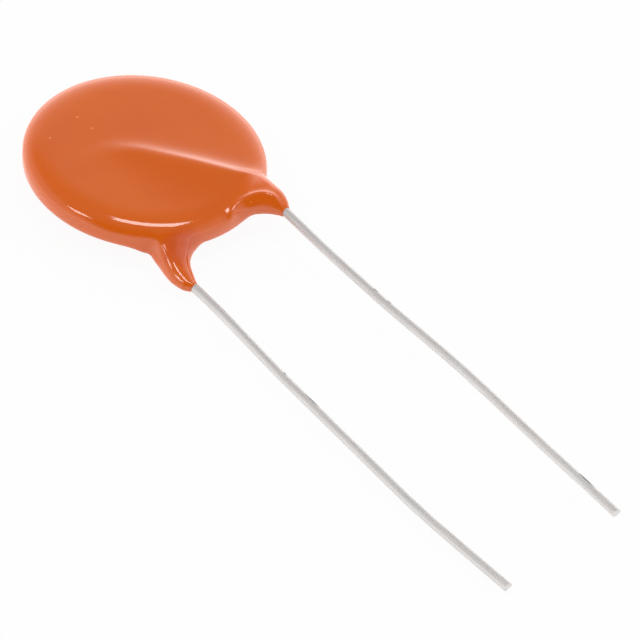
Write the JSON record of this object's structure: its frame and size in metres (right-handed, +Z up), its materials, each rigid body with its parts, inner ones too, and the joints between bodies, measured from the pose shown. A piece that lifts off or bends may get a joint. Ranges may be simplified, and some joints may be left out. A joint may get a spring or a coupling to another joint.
{
  "type": "ceramic disc capacitor",
  "caption": "Round resin-dipped ceramic disc capacitor lying flat, with wire leads leaving one side of its rim for soldering into a circuit board.",
  "frame": {"origin": "middle of the part's bounding box, on the surface that it lies on", "axes": "+Z up from that surface, close to the disc's own axis; +Y from the ends of the leads towards the disc; +X towards the front face's lead"},
  "size_m": [0.017, 0.0531, 0.0029],
  "materials": {
    "resin": "glossy dipped orange resin",
    "ceramic": "fired, matt",
    "silver": "fired silver, matt",
    "solder": "satin solder",
    "tinned_wire": "satin tin plating"
  },
  "bodies": {
    "root": {"ceramic_disc": "ceramic", "electrode_front": "silver", "electrode_back": "silver", "solder_front": "solder", "solder_back": "solder", "lead_front": "tinned_wire", "lead_back": "tinned_wire", "coating": "resin"}
  },
  "joints": []
}
